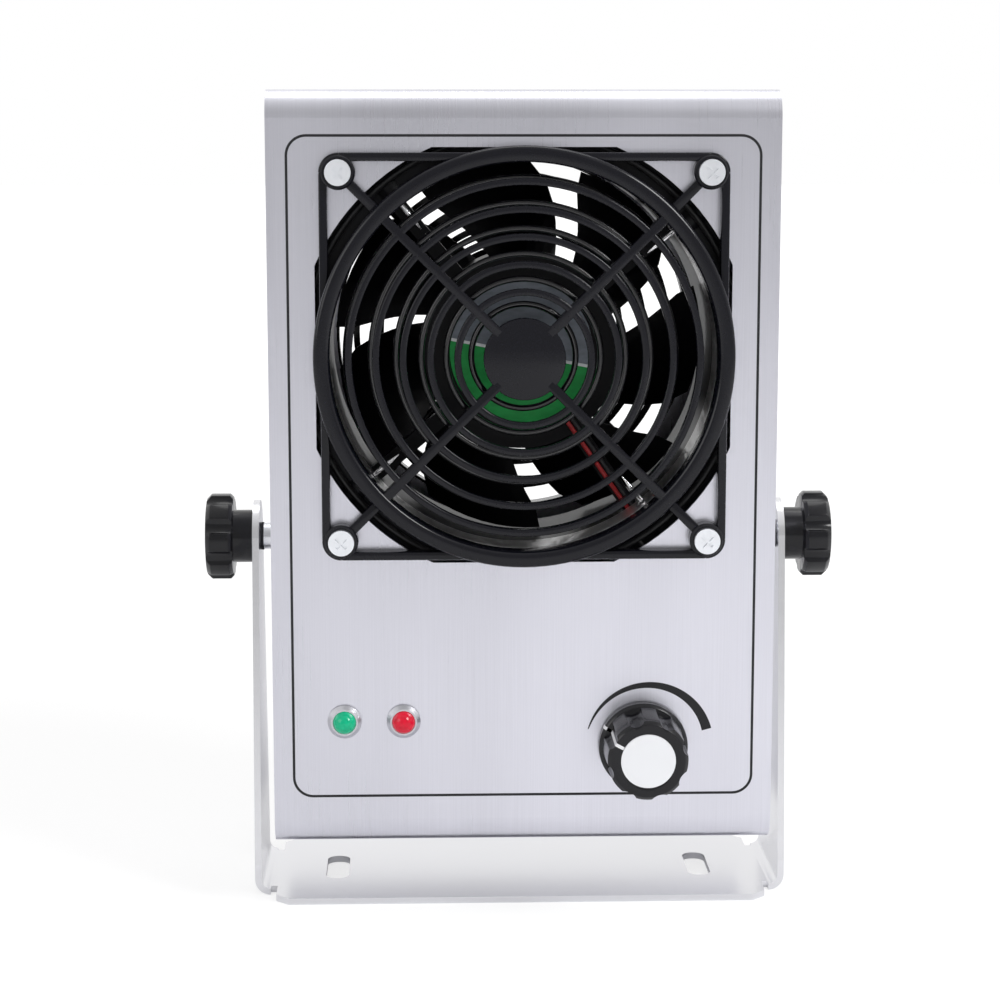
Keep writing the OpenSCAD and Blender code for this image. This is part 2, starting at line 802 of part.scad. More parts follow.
module blade() {
    n = 2 * (blade_steps + 1);
    m = blade_stations;
    points = [for (i = [0 : m - 1]) each blade_section(i / (m - 1))];
    skin = [for (i = [0 : m - 2], k = [0 : n - 1])
        let (a = i * n + k, b = i * n + (k + 1) % n)
            each [[a, b + n, b], [a, a + n, b + n]]];
    ends = [for (k = [0 : blade_steps - 1])
        let (p = k, q = k + 1, r = n - 2 - k, t = n - 1 - k, o = (m - 1) * n)
            each [[p, q, r], [p, r, t], [o + p, o + r, o + q], [o + p, o + t, o + r]]];
    polyhedron(points, concat(skin, ends), convexity = 4);
}

module impeller() {
    hub_r = hub_d / 2;
    color(black) translate([0, 0, fan_z]) {
        difference() {
            union() {
                translate([0, hub_y1, 0]) rotate([90, 0, 0]) rotate_extrude() difference() {
                    union() {
                        box2(0, hub_r - 3, 0, hub_y1 - hub_y0);
                        box2(0, hub_r, 3, hub_y1 - hub_y0);
                        translate([hub_r - 3, 3]) intersection() {
                            circle(3);
                            box2(0, 4, -4, 0);
                        }
                    }
                    box2(-1, hub_r - hub_wall, 2.5, hub_y1 - hub_y0 + 1);
                }
                rod_y(9, tube_y1 + 1, hub_y1 - 2);
            }
            rod_y(shaft_d, tube_y1, hub_y1 - 1.2);
        }
        for (i = [0 : blades - 1]) rotate([0, -(43.7 + i * 360 / blades), 0]) blade();
    }
}

module rotor_magnet() {
    r = hub_d / 2 - hub_wall;
    color("#3a3a40") difference() {
        rod_y(2 * r, hub_y0 + 2, hub_y0 + 18, 0, fan_z);
        rod_y(2 * (r - magnet_t), hub_y0 + 1, hub_y0 + 19, 0, fan_z);
    }
}

module fan_shaft() {
    color(zinc) rod_y(shaft_d, plate_back - 1, hub_y1 - 1.2, 0, fan_z);
}

// Electronics ----------------------------------------------------------------------

module_w = 56;
module_d = 30;
module_h = 32;
module_x0 = body_w / 2 - 71;
module_x1 = module_x0 + module_w;
module_y0 = board_back + 8.5;
module_z0 = z0 + sheet_t;
module_z1 = module_z0 + module_h;

module at_module_ears() {
    for (x = [module_x0 - 4, module_x1 + 4])
        translate([x, module_y0 + module_d / 2, 0]) children();
}

module module_holes() {
    at_module_ears() translate([0, 0, z0 - 1]) cylinder(d = m3[0] + 0.3, h = sheet_t + 2);
}

// Potted high-voltage supply with two mounting ears
module hv_module() {
    mid = (module_x0 + module_x1) / 2;
    color("#26262b") difference() {
        union() {
            translate([mid, module_y0 + module_d / 2, module_z0]) {
                linear_extrude(module_h) round_rect(module_w, module_d, 3);
                linear_extrude(3) round_rect(module_w + 16, 12, 4);
            }
        }
        at_module_ears() translate([0, 0, module_z0 - 1]) cylinder(d = m3[0] + 0.1, h = 5);
        translate([mid, module_y0 + module_d / 2, module_z1 - 1.2])
            linear_extrude(2) round_rect(module_w - 26, module_d - 8, 2);
    }
}

module hv_module_screws() {
    color(zinc) at_module_ears() {
        translate([0, 0, z0]) cylinder(d = m3[0], h = sheet_t + 4);
        translate([0, 0, z0 - m3[2]]) cylinder(d = m3[1], h = m3[2]);
    }
}

module at_board_corners() {
    for (s = [-1, 1], z = [board_z0 + 4, board_z1 - 4])
        translate([s * (board_w / 2 - 4), 0, z]) children();
}

module control_board() {
    color(green_board) difference() {
        box3(-board_w / 2, board_w / 2, board_y, board_back, board_z0, board_z1);
        at_board_corners() rod_y(3.2, board_y - 1, board_back + 1);
    }
}

module board_spacers() {
    color(brass) at_board_corners() hex_y(5.5, inner_front, board_y);
}

plug_mid_x = fan_size * 0.31;
plug_w = 9;
plug_y = board_back + 4;
plug_z1 = board_z1 - 2;

// What stands on the board: transformer, capacitors, relay and connectors
module board_parts() {
    color("#d8c25a") box3(-50, -22, board_back, board_back + 22, board_z0 + 14,
        board_z0 + 38);
    color("#2b3f8c") for (i = [0 : 2])
        rod_y(9, board_back, board_back + 17, -12 + i * 11, board_z0 + 44);
    color("#2d5fa8") box3(-54, -38, board_back, board_back + 11, board_z0 + 42,
        board_z0 + 52);
    color("#f0efe8") box3(plug_mid_x - plug_w / 2, plug_mid_x + plug_w / 2, board_back,
        board_back + 7.5, plug_z1 - 8, plug_z1);
}

module potentiometer() {
    color("#b9bcc0") difference() {
        union() {
            rod_y(pot_d, inner_front, inner_front + pot_t, knob_x, knob_z);
            rod_y(bush_d, front_y - 5, inner_front + 1, knob_x, knob_z);
        }
        rod_y(pot_shaft_d + 2 * run_fit, front_y - 6, inner_front + pot_t - 2,
            knob_x, knob_z);
    }
    color(brass) for (i = [-1 : 1])
        box3(knob_x + i * 5 - 0.6, knob_x + i * 5 + 0.6, inner_front + pot_t, board_y,
            knob_z - 0.4, knob_z + 0.4);
}

module pot_nut() {
    color(zinc) difference() {
        hex_y(10, front_y - 2.4, front_y, knob_x, knob_z);
        rod_y(bush_d + 2 * run_fit, front_y - 4, front_y + 1, knob_x, knob_z);
    }
}

knob_face = front_y - 0.5 - knob_h;

module pot_shaft() {
    color(zinc) rod_y(pot_shaft_d, knob_face + 4, inner_front + pot_t - 3, knob_x, knob_z);
}

// Fluted grip on a round skirt: hollow at its foot for the nut, recessed face for the cap
module speed_knob() {
    r = knob_d / 2;
    grip_r = r - 0.8;
    skirt_h = 3.2;
    flute_r = 3.2;
    color(black) translate([knob_x, front_y - 0.5, knob_z]) rotate([90, 0, 0])
        difference() {
            union() {
                rotate_extrude() polygon([[0, 0], [r, 0], [r, skirt_h - 0.8],
                    [r - 0.8, skirt_h], [0, skirt_h]]);
                difference() {
                    rotate_extrude() polygon([[0, 1], [grip_r, 1], [grip_r - 0.6, knob_h - 1],
                        [grip_r - 1.6, knob_h], [0, knob_h]]);
                    for (i = [0 : knob_flutes - 1]) rotate([0, 0, 17 + i * 360 / knob_flutes])
                        translate([grip_r + 1.5, 0, 0]) cylinder(r = flute_r, h = knob_h + 1);
                }
            }
            translate([0, 0, -1]) cylinder(d = 13, h = 6.5);
            translate([0, 0, -1]) cylinder(d = pot_shaft_d, h = knob_h - 2.5);
            translate([0, 0, knob_h - 0.8]) cylinder(d = cap_d + 2 * slip, h = 2);
        }
}

cap_d = 15.7;

module speed_knob_cap() {
    color("#dfe1e3") rod_y(cap_d, knob_face, knob_face + 0.8, knob_x, knob_z);
}

module led_bezels() {
    tube_d = lens_d + 1.1;
    color(zinc) for (i = [0, 1]) translate([led_x + i * led_pitch, 0, led_z])
        difference() {
            union() {
                rod_y(tube_d, front_y - 1, inner_front + 5);
                translate([0, front_y, 0]) rotate([90, 0, 0]) rotate_extrude()
                    polygon([[0, 0], [bezel_d / 2, 0], [bezel_d / 2, 0.7],
                        [tube_d / 2, 1.9], [0, 1.9]]);
            }
            rod_y(lens_d + slip, front_y - 3, inner_front + 6);
        }
}

module led_nuts() {
    color(zinc) for (i = [0, 1]) difference() {
        hex_y(11, inner_front, inner_front + 2.2, led_x + i * led_pitch, led_z);
        rod_y(lens_d + 1.1 + 2 * run_fit, inner_front - 1, inner_front + 4,
            led_x + i * led_pitch, led_z);
    }
}

module led(x) {
    dome_y = front_y - 1.2;
    rod_y(lens_d, dome_y, inner_front + 4.5, x, led_z);
    translate([x, dome_y, led_z]) sphere(d = lens_d);
    for (s = [-1, 1]) rod_y(0.7, inner_front + 4, board_y, x + s * 1.27, led_z);
}

module power_led() {
    color("#1f9d5a") led(led_x);
}

module alarm_led() {
    color("#c92a35") led(led_x + led_pitch);
}

// Back panel parts -----------------------------------------------------------------

rocker_w = 12.8;
rocker_l = 19.2;
rocker_cell = [11, 17.6, 9];
rocker_pin_y = back_y - 2.5;
fuse_d = 12;
inlet_w = 27.4;
inlet_h = 20;
inlet_flange = [50, 25];
inlet_pitch = 40;

module rocker_housing() {
    color(black) translate([rocker_x, 0, mains_z]) difference() {
        union() {
            slab_y(back_y, back_y + 1.6) round_rect(rocker_w + 2.2, rocker_l + 2.2, 1.2);
            slab_y(back_y - 16, back_y) square([rocker_w, rocker_l], center = true);
        }
        slab_y(back_y - rocker_cell[2], back_y + 3)
            square([rocker_cell[0], rocker_cell[1]], center = true);
        translate([0, rocker_pin_y, 0]) rotate([0, 90, 0])
            cylinder(d = 2 + 2 * run_fit, h = rocker_w - 0.8, center = true);
    }
}

rocker_tilt = 10;

// Rocker on its two trunnions, resting in its off position
module rocker() {
    color("#161618") translate([rocker_x, rocker_pin_y, mains_z]) rotate([rocker_tilt, 0, 0]) {
        slab_x(-(rocker_cell[0] / 2 - 0.3), rocker_cell[0] / 2 - 0.3) {
            polygon([[-3.5, -6], [-1, -7.4], [6.1, -7.4], [4.4, 0], [6.1, 7.4],
                [-1, 7.4], [-3.5, 6]]);
        }
        rotate([0, 90, 0]) cylinder(d = 2, h = rocker_w - 1.2, center = true);
    }
}

module inlet_cuts(y0, y1) {
    slab_y(y0, y1) translate([inlet_x, mains_z])
        square([inlet_w + 2 * slip, inlet_h + 2 * slip], center = true);
    for (s = [-1, 1])
        rod_y(m3[0] + 0.3, y0, y1, inlet_x + s * inlet_pitch / 2, mains_z);
}

// Three-pole mains inlet with a flange, a shaped recess and its contact pins
module power_inlet() {
    color(black) difference() {
        union() {
            slab_y(back_y, back_y + 3) translate([inlet_x, mains_z])
                round_rect(inlet_flange[0], inlet_flange[1], 5);
            slab_y(back_y - 17, back_y) translate([inlet_x, mains_z])
                square([inlet_w, inlet_h], center = true);
        }
        slab_y(back_y - 13, back_y + 4) translate([inlet_x, mains_z])
            polygon([[-12, -8], [12, -8], [12, 3.6], [7.6, 8], [-7.6, 8], [-12, 3.6]]);
        for (s = [-1, 1]) rod_y(m3[0] + 0.1, back_y - 1, back_y + 4,
            inlet_x + s * inlet_pitch / 2, mains_z);
    }
}

module inlet_pins() {
    color(brass) for (p = [[-7, -1], [0, 3], [7, -1]])
        box3(inlet_x + p.x - 1, inlet_x + p.x + 1, back_y - 13, back_y + 0.5,
            mains_z + p.y - 2, mains_z + p.y + 2);
}

module inlet_screws() {
    color(zinc) for (s = [-1, 1])
        screw_y(m3, back_y + 3, inner_back - 4, inlet_x + s * inlet_pitch / 2, mains_z);
}

module fuse_holder() {
    color(black) difference() {
        union() {
            rod_y(fuse_d + 3, back_y, back_y + 2, fuse_x, mains_z);
            rod_y(fuse_d, back_y - 24, back_y, fuse_x, mains_z);
        }
        rod_y(8.2, back_y - 22, back_y + 3, fuse_x, mains_z);
    }
}

module fuse_cap() {
    color("#222226") difference() {
        union() {
            rod_y(8, back_y - 20, back_y + 2, fuse_x, mains_z);
            rod_y(fuse_d - 0.5, back_y + 2, back_y + 7.5, fuse_x, mains_z);
        }
        translate([fuse_x, back_y + 7.5, mains_z]) cube([7, 2.4, 1.4], center = true);
    }
}

bracket();
front_shell();
rear_shell();
cover_screws();
pivot_nuts();
friction_washers();
tilt_knob(-1);  // tilt_knob_left
tilt_knob(1);  // tilt_knob_right
tilt_stud(-1);  // tilt_stud_left
tilt_stud(1);  // tilt_stud_right
front_guard();
front_guard_screws();
inner_guard();
standoffs();
emitter_ring();
emitter_needles();
ground_ring();
hv_lead();
fan_frame();
fan_label();
fan_bearings();
fan_stator();
fan_screws();
fan_leads();
impeller();
rotor_magnet();
fan_shaft();
rear_guard();
rear_guard_screws();
rear_guard_nuts();
hv_module();
hv_module_screws();
control_board();
board_parts();
board_spacers();
potentiometer();
pot_nut();
pot_shaft();
speed_knob();
speed_knob_cap();
led_bezels();
led_nuts();
power_led();
alarm_led();
rocker_housing();
rocker();
power_inlet();
inlet_pins();
inlet_screws();
fuse_holder();
fuse_cap();
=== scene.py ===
import json
import math
import bmesh
import bpy
from mathutils import Matrix, Vector


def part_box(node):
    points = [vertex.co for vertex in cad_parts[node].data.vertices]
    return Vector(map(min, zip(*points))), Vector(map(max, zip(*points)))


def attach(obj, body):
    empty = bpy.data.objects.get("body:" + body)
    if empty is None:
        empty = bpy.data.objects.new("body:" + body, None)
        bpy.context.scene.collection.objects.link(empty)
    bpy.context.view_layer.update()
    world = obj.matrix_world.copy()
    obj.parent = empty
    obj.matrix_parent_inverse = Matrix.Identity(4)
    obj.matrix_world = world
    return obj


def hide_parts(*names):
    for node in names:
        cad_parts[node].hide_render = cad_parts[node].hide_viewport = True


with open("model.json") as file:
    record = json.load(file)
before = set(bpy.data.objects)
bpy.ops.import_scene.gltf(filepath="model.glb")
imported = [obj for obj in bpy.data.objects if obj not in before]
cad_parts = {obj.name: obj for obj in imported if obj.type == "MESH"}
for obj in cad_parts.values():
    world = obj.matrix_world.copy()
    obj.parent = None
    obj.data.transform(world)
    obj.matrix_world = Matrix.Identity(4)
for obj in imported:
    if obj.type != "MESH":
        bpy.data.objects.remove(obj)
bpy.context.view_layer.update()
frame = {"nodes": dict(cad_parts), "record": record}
nodes = frame["nodes"]
mm = 0.001
print("frame loaded:", len(nodes), "nodes")


cameraSet = {
    "place": (-0.0294, -0.7337, 0.2325),
    "focal": 87.53,          # mm on a 36 mm sensor
    "pitch": 8.89,           # degrees below the horizon
    "yaw": 1.865,            # degrees towards +X
}


def makeCamera(values):
    data = bpy.data.cameras.new("camera")
    data.lens = values["focal"]
    data.sensor_width = 36
    data.clip_end = 50
    camera = bpy.data.objects.new("camera", data)
    camera.location = values["place"]
    camera.rotation_euler = (math.radians(90 - values["pitch"]), 0, -math.radians(values["yaw"]))
    bpy.context.scene.collection.objects.link(camera)
    bpy.context.scene.camera = camera


makeCamera(cameraSet)
bpy.context.scene.view_settings.view_transform = "Standard"


class Wire:
    # A socket in a finish; arithmetic on it adds the Math nodes
    def __init__(self, finish, socket):
        self.finish = finish
        self.socket = socket

    def maths(self, operation, *values):
        return self.finish.add("ShaderNodeMath", {"operation": operation}, dict(enumerate(values)))

    def __add__(self, other):
        return self.maths("ADD", self, other)

    __radd__ = __add__

    def __sub__(self, other):
        return self.maths("SUBTRACT", self, other)

    def __rsub__(self, other):
        return self.maths("SUBTRACT", other, self)

    def __mul__(self, other):
        return self.maths("MULTIPLY", self, other)

    __rmul__ = __mul__

    def __gt__(self, other):
        return self.maths("GREATER_THAN", self, other)

    def __lt__(self, other):
        return self.maths("LESS_THAN", self, other)


class Finish:
    # A material with one Principled shader and short ways to feed it
    def __init__(self, name, **constants):
        self.material = bpy.data.materials.new(name)
        self.material.use_nodes = True
        self.tree = self.material.node_tree
        self.shader = self.tree.nodes["Principled BSDF"]
        self.place = self.add("ShaderNodeTexCoord", {}, {}, "Object")
        for key, value in constants.items():
            self.set(key.replace("_", " "), value)

    def add(self, kind, settings, inputs, output=0):
        node = self.tree.nodes.new(kind)
        for key, value in settings.items():
            setattr(node, key, value)
        for key, value in inputs.items():
            if isinstance(value, Wire):
                self.tree.links.new(value.socket, node.inputs[key])
            else:
                node.inputs[key].default_value = value
        return Wire(self, node.outputs[output])

    def set(self, key, value):
        if isinstance(value, Wire):
            self.tree.links.new(value.socket, self.shader.inputs[key])
        else:
            self.shader.inputs[key].default_value = value

    def stretched(self, scale):
        return self.add("ShaderNodeMapping", {"vector_type": "POINT"},
                        {"Vector": self.place, "Scale": scale})

    def noise(self, scale, stretch=(1, 1, 1), detail=2.0, rough=0.5):
        return self.add("ShaderNodeTexNoise", {},
                        {"Vector": self.stretched(stretch), "Scale": scale,
                         "Detail": detail, "Roughness": rough})

    def mix(self, factor, first, second):
        return self.add("ShaderNodeMix", {"data_type": "RGBA"}, {0: factor, 6: first, 7: second}, 2)

    def shaded(self, colour, amount, wave):
        # The colour darkened and lightened by the wave, which runs about 0.5
        low = [c * (1 - amount) for c in colour] + [1]
        high = [min(1, c * (1 + amount)) for c in colour] + [1]
        return self.mix(wave, low, high)

    def bump(self, height, strength, distance):
        self.set("Normal", self.add("ShaderNodeBump", {},
                                    {"Height": height, "Strength": strength, "Distance": distance}))

    def axes(self):
        split = self.tree.nodes.new("ShaderNodeSeparateXYZ")
        self.tree.links.new(self.place.socket, split.inputs[0])
        return [Wire(self, split.outputs[i]) for i in range(3)]


def spread(wave, low, high):
    return wave * (high - low) + low


grainDepth = 0.00004    # bump height of fine grain, in metres
acrossGrain, alongGrain = 2600, 22    # noise stretch over and along the brushing

steelSet = {"colour": (0.735, 0.733, 0.80), "patch": 0.22, "grain": 0.07, "rough": (0.22, 0.36)}


def brushedSteel(name, stretch, values, coarse=9):
    # Grain is noise drawn out along the brushing; soft patches lie under it
    finish = Finish(name, Metallic=1.0)
    grain = finish.noise(1.0, stretch, 3, 0.6)
    fine = finish.noise(2.7, stretch, 2, 0.5)
    patch = finish.noise(coarse, (1, 1, 0.35), 2, 0.5)
    base = finish.shaded(values["colour"], values["patch"], patch)
    lines = finish.shaded((0.93, 0.93, 0.93), values["grain"], grain)
    brushed = finish.add("ShaderNodeMix", {"data_type": "RGBA", "blend_type": "MULTIPLY"},
                         {0: 1.0, 6: base, 7: lines}, 2)
    finish.set("Base Color", brushed)
    low, high = values["rough"]
    finish.set("Roughness", spread(grain * 0.6 + patch * 0.4, low, high))
    finish.bump(grain + fine * 0.5, 0.10, grainDepth)
    return finish.material


def moulded(name, colour, rough, bump=0.12, coat=0.0, scale=900, shine=0.35):
    # Moulded plastic: fine spark-eroded texture and slow gloss changes
    finish = Finish(name, Coat_Weight=coat, Coat_Roughness=0.10, Specular_IOR_Level=shine)
    texture = finish.noise(scale, detail=3)
    slow = finish.noise(35, detail=2)
    finish.set("Base Color", finish.shaded(colour, 0.18, slow))
    finish.set("Roughness", spread(slow * 0.5 + texture * 0.5, rough * 0.75, rough * 1.3))
    finish.bump(texture, bump, 0.00005)
    return finish.material


def plated(name, colour, rough, bump=0.06, scale=400, amount=0.08):
    # Bright metal with faint clouds and scratches
    finish = Finish(name, Metallic=1.0)
    cloud = finish.noise(60, detail=3)
    scratch = finish.noise(scale, (1, 1, 0.12), 2)
    finish.set("Base Color", finish.shaded(colour, amount, cloud))
    finish.set("Roughness", spread(cloud * 0.5 + scratch * 0.5, rough * 0.6, rough * 1.5))
    finish.bump(scratch, bump, grainDepth)
    return finish.material


ringSet = {"colour": (0.97, 0.96, 0.96), "wave": 48, "fine": 210, "rough": (0.18, 0.55),
           "depth": 0.0030}


def ringFinish(values):
    # Rolled bright strip: slow waves along it break up what it mirrors
    finish = Finish("polishedSteel", Metallic=1.0)
    wave = finish.noise(values["wave"], (1, 0.4, 1), 2)
    fine = finish.noise(values["fine"], (1, 0.4, 1), 2)
    finish.set("Base Color", finish.shaded(values["colour"], 0.03, fine))
    finish.set("Roughness", spread(wave, *values["rough"]))
    finish.bump(wave + fine * 0.25, 1.0, values["depth"])
    return finish.material


def lens(name, colour, glow):
    # Tinted dome, faintly mottled; its emission is a weak painted glow in the dome's colour, standing in for
    # light through the dome
    finish = Finish(name, Roughness=0.08, Specular_IOR_Level=0.35)
    cell = finish.noise(700, detail=2)
    finish.set("Base Color", finish.shaded(colour, 0.35, cell))
    finish.set("Emission Color", finish.shaded(colour, 0.3, cell))
    finish.set("Emission Strength", glow)
    return finish.material


fanZ = (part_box("ground_ring")[0].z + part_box("ground_ring")[1].z) / 2


labelSet = {"slant": 0.2, "line": 0.0009, "silver": (0.17, 0.19, 0.22),
            "green": (0.01, 0.30, 0.06), "edge": (0.75, 0.77, 0.78, 1)}


def labelFinish(values):
    # Foil label in two plain fields: silver above, green below, with a bright line between
    finish = Finish("fanLabel", Metallic=0.35)
    x, _, z = finish.axes()
    slant = z + x * values["slant"]
    split = slant < fanZ
    line = (slant > fanZ - values["line"]) * split
    wave = finish.noise(240, (1, 1, 3), 3)
    silver = finish.shaded(values["silver"], 0.35, wave)
    green = finish.shaded(values["green"], 0.25, wave)
    finish.set("Base Color", finish.mix(line, finish.mix(split, silver, green), values["edge"]))
    finish.set("Roughness", spread(wave, 0.25, 0.4))
    return finish.material


leadSet = {"strut": 305, "turnsDown": 0.0612, "apart": 0.0372, "red": (0.42, 0.015, 0.02),
           "black": (0.01, 0.01, 0.012, 1)}


def leadFinish(values):
    # One lead is red and its neighbour black, told apart by the side of the strut they lie on
    finish = Finish("leadRed", Roughness=0.35)
    wave = finish.noise(300, detail=2)
    x, _, z = finish.axes()
    turn = math.radians(values["strut"])
    across = x * -math.sin(turn) + (z - fanZ) * math.cos(turn) > 0
    below = z < fanZ - values["turnsDown"]
    black = across * (1 - below) + (x > values["apart"]) * below
    red = finish.shaded(values["red"], 0.2, wave)
    finish.set("Base Color", finish.mix(black, red, values["black"]))
    finish.bump(wave, 0.1, grainDepth)
    return finish.material


highLeadSet = {"front": -0.033, "pale": (0.70, 0.67, 0.60), "black": (0.008, 0.008, 0.009, 1)}


def highLeadFinish(values):
    # Pale silicone lead; its run at the front is black, which is a guess
    finish = Finish("paleLead", Roughness=0.45)
    wave = finish.noise(300, detail=2)
    y = finish.axes()[1]
    pale = finish.shaded(values["pale"], 0.15, wave)
    finish.set("Base Color", finish.mix(y < values["front"], pale, values["black"]))
    finish.bump(wave, 0.1, grainDepth)
    return finish.material


coreSet = {"colour": (0.33, 0.20, 0.13), "sheets": 9000}


def coreFinish(values):
    # Laminations across the core
    finish = Finish("laminatedCore", Metallic=0.6, Roughness=0.45)
    y = finish.axes()[1]
    sheets = y.maths("SINE", y * values["sheets"])
    finish.set("Base Color", finish.shaded(values["colour"], 0.3, sheets * 0.5 + 0.5))
    return finish.material


boardSet = {"cell": 160, "track": 0.12, "copper": (0.10, 0.30, 0.14, 1),
            "mask": (0.035, 0.16, 0.06, 1)}


def boardFinish(values):
    # Green mask over paler tracks
    finish = Finish("boardGreen", Coat_Weight=0.5)
    track = finish.add("ShaderNodeTexVoronoi", {"feature": "DISTANCE_TO_EDGE"},
                       {"Vector": finish.place, "Scale": values["cell"]})
    finish.set("Base Color", finish.mix(track > values["track"], values["copper"], values["mask"]))
    finish.set("Roughness", spread(finish.noise(120), 0.3, 0.45))
    return finish.material


partsSet = {"canFrom": -0.02, "plugFrom": 0.025, "coil": (0.45, 0.36, 0.10),
            "can": (0.02, 0.05, 0.22), "plug": (0.75, 0.74, 0.68)}


def partsFinish(values):
    # Component cases: each plain block or can by its place on the board
    finish = Finish("boardParts", Roughness=0.4)
    x = finish.axes()[0]
    wave = finish.noise(260, detail=2)
    coil = finish.shaded(values["coil"], 0.2, wave)
    can = finish.shaded(values["can"], 0.2, wave)
    plug = finish.shaded(values["plug"], 0.1, wave)
    left = finish.mix(x > values["canFrom"], coil, can)
    finish.set("Base Color", finish.mix(x > values["plugFrom"], left, plug))
    finish.bump(wave, 0.15, 0.0001)
    return finish.material


housingSteel = brushedSteel("housingSteel", (acrossGrain, 0, alongGrain), steelSet, 14)
coverSteel = Finish("coverSteel", Metallic=1.0)


def coverFinish(finish, values):
    # The grain stays upright on the sides and the back: it varies with X plus Y only
    x, y, z = finish.axes()
    across = finish.add("ShaderNodeCombineXYZ", {}, {0: (x + y) * acrossGrain, 1: 0.0, 2: z * alongGrain})
    grain = finish.add("ShaderNodeTexNoise", {}, {"Vector": across, "Scale": 1.0, "Detail": 3.0})
    patch = finish.noise(9, (1, 1, 0.35), 2)
    finish.set("Base Color", finish.shaded([c * 0.93 for c in values["colour"]], values["patch"],
                                           patch * 0.75 + grain * 0.25))
    low, high = values["rough"]
    finish.set("Roughness", spread(grain * 0.6 + patch * 0.4, low, high))
    finish.bump(grain, 0.10, grainDepth)
    return finish.material


bracketSet = {"colour": (0.86, 0.86, 0.885), "patch": 0.05, "grain": 0.03, "rough": (0.18, 0.28)}

finishes = {
    "bracket": brushedSteel("bracketSteel", (alongGrain, acrossGrain, alongGrain), bracketSet),
    "front_shell": housingSteel,
    "rear_shell": coverFinish(coverSteel, steelSet),
    "zinc": plated("zincPlate", (0.74, 0.75, 0.78), 0.26),
    "screws": plated("brightZinc", (0.90, 0.92, 0.96), 0.34, amount=0.05),
    "washer": moulded("washerRubber", (0.03, 0.03, 0.033), 0.75),
    "knob": moulded("knobBlack", (0.004, 0.004, 0.006), 0.24, 0.05, 0.35, shine=0.2),
    "guard": moulded("guardBlack", (0.004, 0.004, 0.007), 0.26, 0.08, 0.4, shine=0.1),
    "wire": moulded("wireBlack", (0.004, 0.004, 0.006), 0.10, 0.03, 1.0, shine=0.5),
    "brass": plated("brass", (0.72, 0.53, 0.24), 0.25),
    "carrier": moulded("carrierBlack", (0.006, 0.006, 0.008), 0.38, shine=0.2),
    "fan": moulded("fanBlack", (0.004, 0.004, 0.005), 0.32, 0.12, shine=0.15),
    "needle": plated("needleSteel", (0.82, 0.82, 0.84), 0.12),
    "chrome": ringFinish(ringSet),
    "pale": highLeadFinish(highLeadSet),
    "label": labelFinish(labelSet),
    "core": coreFinish(coreSet),
    "lead": leadFinish(leadSet),
    "magnet": moulded("magnetFerrite", (0.06, 0.06, 0.065), 0.6),
    "potting": moulded("pottedCase", (0.02, 0.02, 0.023), 0.45),
    "board": boardFinish(boardSet),
    "boardParts": partsFinish(partsSet),
    "cap": plated("turnedCap", (0.88, 0.89, 0.91), 0.32, amount=0.03),
    "bezel": plated("bezelChrome", (0.58, 0.58, 0.61), 0.30),
    # Both LED lenses carry a weak painted glow, not a lamp
    "green": lens("lensGreenPaintedGlow", (0.001, 0.28, 0.14), 0.6),
    "red": lens("lensRedPaintedGlow", (0.45, 0.004, 0.02), 0.5),
    "switch": moulded("switchBlack", (0.016, 0.016, 0.018), 0.40),
}

finishOf = {
    "bracket": ["bracket"], "front_shell": ["front_shell"], "rear_shell": ["rear_shell"],
    "zinc": ["cover_screws", "pivot_nuts", "tilt_stud_left", "tilt_stud_right", "fan_screws",
             "rear_guard_nuts", "hv_module_screws", "potentiometer", "pot_nut", "led_nuts",
             "inlet_screws"],
    "screws": ["front_guard_screws", "rear_guard_screws"],
    "washer": ["friction_washers"],
    "knob": ["tilt_knob_left", "tilt_knob_right", "speed_knob"],
    "guard": ["front_guard", "rear_guard"],
    "wire": ["inner_guard"],
    "brass": ["standoffs", "board_spacers", "inlet_pins"],
    "carrier": ["emitter_ring"],
    "fan": ["fan_frame", "impeller"],
    "needle": ["emitter_needles", "fan_bearings", "fan_shaft", "pot_shaft"],
    "chrome": ["ground_ring"],
    "pale": ["hv_lead"],
    "label": ["fan_label"], "core": ["fan_stator"], "lead": ["fan_leads"],
    "magnet": ["rotor_magnet"], "potting": ["hv_module"], "board": ["control_board"],
    "boardParts": ["board_parts"], "cap": ["speed_knob_cap"], "bezel": ["led_bezels"],
    "green": ["power_led"], "red": ["alarm_led"],
    "switch": ["rocker_housing", "rocker", "power_inlet", "fuse_holder", "fuse_cap"],
}


def paint(piece, material):
    piece.data.materials.clear()
    piece.data.materials.append(material)


for key, names in finishOf.items():
    for name in names:
        paint(nodes[name], finishes[key])
print("finishes:", len(finishes))


bodyOf = {name: body for body, names in frame["record"]["behaviour"]["bodies"].items()
          for name in names}


def piece(name, mesh, body, slot, material, stands=None, smooth=None):
    data = bpy.data.meshes.new(name)
    bmesh.ops.recalc_face_normals(mesh, faces=mesh.faces)
    mesh.to_mesh(data)
    mesh.free()
    if smooth:
        data.polygons.foreach_set("use_smooth", [True] * len(data.polygons))
        data.set_sharp_from_angle(angle=math.radians(smooth))
    thing = bpy.data.objects.new(name, data)
    bpy.context.scene.collection.objects.link(thing)
    data.materials.append(material)
    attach(thing, body)
    if stands:
        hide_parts(stands)
    return thing


